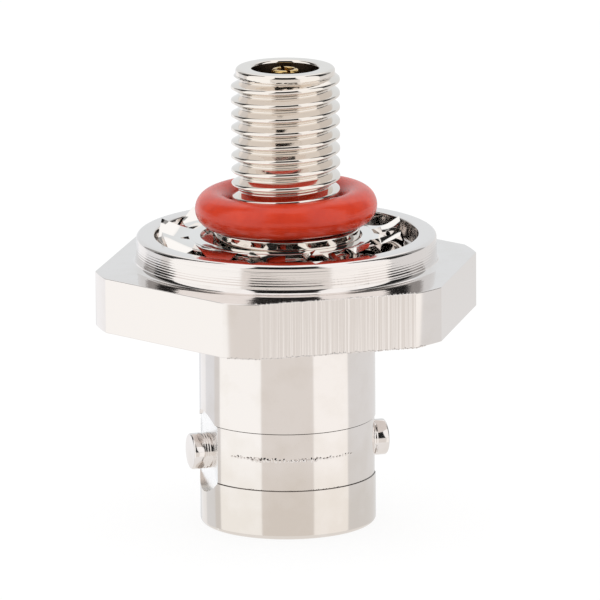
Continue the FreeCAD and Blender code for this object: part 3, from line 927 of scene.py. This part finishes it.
# Each slot: from, up to and width
slots = [
    (CONTACT_FOOT - SAW_OVERRUN, CONTACT_FOOT + 4.60 * MM, 0.28 * MM),
    (CONTACT_TOP - 3.40 * MM, CONTACT_TOP + SAW_OVERRUN, 0.20 * MM),
]
for low, high, slot_width in slots:
    for quarter in (0, 1):
        saw = bmesh.new()
        bmesh.ops.create_cube(saw, size=1)
        saw_mesh = mesh_of("slot", saw)
        saw_mesh.transform(
            Matrix.Rotation(quarter * math.pi / 2, 4, "Z")
            @ Matrix.Translation((0, 0, (low + high) / 2))
            @ Matrix.Diagonal((SAW_REACH, slot_width, high - low, 1))
        )
        worked(contact, "DIFFERENCE", show("slot", saw_mesh))
smoothed(contact.data)
gold_plate = nickel(
    "gold_plate", (0.70, 0.48, 0.19), roughness=0.22, depth=1.5e-6, strokes=(9000, 9000, 60)
)
contact.data.materials.clear()
contact.data.materials.append(gold_plate)
for face in contact.data.polygons:
    face.material_index = 0
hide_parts("centre_contact")
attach(contact, "root")

# Studio: a white table and a white tent, with a dark gap in the tent that the lens looks
# through. The gap narrows overhead, and the tent is greyer behind the table.
TABLE_HALF = 0.6
TABLE_PAINT = (0.22, 0.22, 0.22, 1)
TABLE_GLOW = 0.82
table_top = bmesh.new()
bmesh.ops.create_grid(table_top, x_segments=1, y_segments=1, size=TABLE_HALF)
table = show("table", mesh_of("table", table_top))
table_white, made, surface = new_material("table_white")
made.nodes.remove(surface)
paint = new_node(made.nodes, "ShaderNodeBsdfDiffuse", {"Color": TABLE_PAINT})
glow = new_node(made.nodes, "ShaderNodeEmission", {"Strength": TABLE_GLOW})
painted = made.nodes.new("ShaderNodeAddShader")
made.links.new(paint.outputs["BSDF"], painted.inputs[0])
made.links.new(glow.outputs["Emission"], painted.inputs[1])
made.links.new(painted.outputs["Shader"], made.nodes["Material Output"].inputs["Surface"])
table.data.materials.append(table_white)
table.visible_glossy = False

world = bpy.data.worlds.new("tent")
bpy.context.scene.world = world
world.use_nodes = True
world.cycles.sampling_method = "NONE"
sky = world.node_tree


def along(direction):
    """How far the sky's direction points along another one."""
    dot = new_node(sky.nodes, "ShaderNodeVectorMath", {1: direction}, operation="DOT_PRODUCT")
    sky.links.new(sky.nodes.new("ShaderNodeTexCoord").outputs["Generated"], dot.inputs[0])
    return Amount(sky, dot.outputs["Value"])


def step_up(amount, low, high):
    """0 below low, 1 above high, and smooth between."""
    ramp = new_node(
        sky.nodes, "ShaderNodeMapRange", {"From Min": low, "From Max": high},
        interpolation_type="SMOOTHSTEP",
    )
    feed(sky, amount, ramp.inputs["Value"])
    return Amount(sky, ramp.outputs["Result"])


def between(amount, low, high):
    """1 between low and high, and 0 beyond them."""
    falling = step_up(-amount, -high - EDGE, -high + EDGE)
    return step_up(amount, low - EDGE, low + EDGE) * falling


def blend(share, first, second):
    mix = new_node(sky.nodes, "ShaderNodeMix", data_type="RGBA")
    feed(sky, share, mix.inputs["Factor"])
    for socket, colour in ((mix.inputs[6], first), (mix.inputs[7], second)):
        if isinstance(colour, tuple):
            socket.default_value = (*colour, 1)
        else:
            sky.links.new(colour, socket)
    return mix.outputs[2]


to_lens = Vector((math.sin(VIEW_AZIMUTH), -math.cos(VIEW_AZIMUTH), 0))
to_right = Vector((math.cos(VIEW_AZIMUTH), math.sin(VIEW_AZIMUTH), 0))
front = along(to_lens)
right = along(to_right)
above = along((0, 0, 1))
azimuth = right.do("ARCTAN2", front) * (180 / math.pi)
elevation = above.do("ARCSINE") * (180 / math.pi)

# Each zone: from the left, to the right, from below, up to, colour. The lens is at 0 degrees.
BLACK = (0.02, 0.02, 0.02)
SOFTBOX = (1.12, 1.12, 1.12)
TENT_SIDE = (0.95, 0.95, 0.95)
TENT_TOP = (1.13, 1.13, 1.13)
OVERHEAD = (0.5, 0.7)
EDGE = 1.2
ZONES = [
    (-200, 200, -100, 2, (0.82, 0.82, 0.82)),
    (-35, 34.5, -100, 2, (0.855, 0.823, 0.790)),
    (-101, -35, -100, 2, (1.14, 1.15, 1.14)),
    (34.5, 87, -100, 2, (1.12, 1.11, 1.09)),
    (-200, -101, -100, 2, (0.86, 0.88, 0.91)),
    (-112, -101, -100, 2, (0.79, 0.78, 0.77)),
    (-158, -136, -100, 2, (1.02, 1.03, 1.05)),
    (-200, 200, -100, -25, (0.96, 0.955, 0.95)),
    (-200, 200, 2, 36, (0.82, 0.855, 0.88)),
    (-140, 131, 2, 65, (0.36, 0.36, 0.36)),
    (-121, 111, 2, 65, BLACK),
    (-96, -20, 2, 67, SOFTBOX),
    (20, 85, 2, 67, SOFTBOX),
]
tent = blend(step_up(above, *OVERHEAD), TENT_SIDE, TENT_TOP)
for left_end, right_end, low_end, high_end, colour in ZONES:
    zone = between(azimuth, left_end, right_end) * between(elevation, low_end, high_end)
    tent = blend(zone, tent, colour)

# The dark gap that the lens looks through narrows overhead
HALF_GAP = 0.54
GAP_NARROWS = 0.28
GAP_EDGE = 0.012
IN_FRONT = (-0.02, 0.04)
ABOVE_TABLE = (0.02, 0.06)
BELOW_TOP = (-68.0, -64.0)
half_gap = HALF_GAP - above * GAP_NARROWS
gap = step_up(half_gap - abs(right), -GAP_EDGE, GAP_EDGE)
gap = gap * step_up(front, *IN_FRONT)
gap = gap * step_up(above, *ABOVE_TABLE)
gap = gap * step_up(-elevation, *BELOW_TOP)
tent = blend(gap, tent, BLACK)

# Only metal and other glossy surfaces see the tent, and the lens sees plain white
rays = sky.nodes.new("ShaderNodeLightPath").outputs
glossy = calculate(sky, "MAXIMUM", rays["Is Glossy Ray"], rays["Is Transmission Ray"])
seen = blend(glossy, TENT_SIDE, tent)
seen = blend(rays["Is Camera Ray"], seen, (1.0, 1.0, 1.0))
background = sky.nodes["Background"]
sky.links.new(seen, background.inputs["Color"])
background.inputs["Strength"].default_value = 1.0

# Camera: half a metre away, a little above the level, and rolled by a fraction of a degree.
# The picture's middle lies below the flange's top and to its right.
LENS_TILT = math.radians(12.77)
LENS_ROLL = math.radians(-0.38)
DISTANCE_MM = 500
PIXELS_A_MM = 18.393
PICTURE = 600
FLANGE_PIXEL = Vector((286.48, 261.48))
camera_data = bpy.data.cameras.new("camera")
camera_data.sensor_width = 36.0
camera_data.lens = PIXELS_A_MM * DISTANCE_MM * camera_data.sensor_width / PICTURE
camera_data.clip_end = 10
camera = show("camera", camera_data)
back_vector = to_lens * math.cos(LENS_TILT) + Vector((0, 0, math.sin(LENS_TILT)))
up_vector = back_vector.cross(to_right)
offset = (Vector((PICTURE / 2, PICTURE / 2)) - FLANGE_PIXEL) * MM / PIXELS_A_MM
offset = Matrix.Rotation(-LENS_ROLL, 2) @ offset
flange_centre = Vector((0, 0, FLANGE_TOP))
stand = flange_centre + back_vector * (DISTANCE_MM * MM)
target = flange_centre + to_right * offset.x - up_vector * offset.y
aim = (stand - target).normalized()
right_axis = Vector((0, 0, 1)).cross(aim).normalized()
turned_view = Matrix((right_axis, aim.cross(right_axis), aim)).transposed()
camera.matrix_world = (
    Matrix.Translation(stand) @ turned_view.to_4x4() @ Matrix.Rotation(LENS_ROLL, 4, "Z")
)
bpy.context.scene.camera = camera
bpy.context.scene.view_settings.view_transform = "Standard"
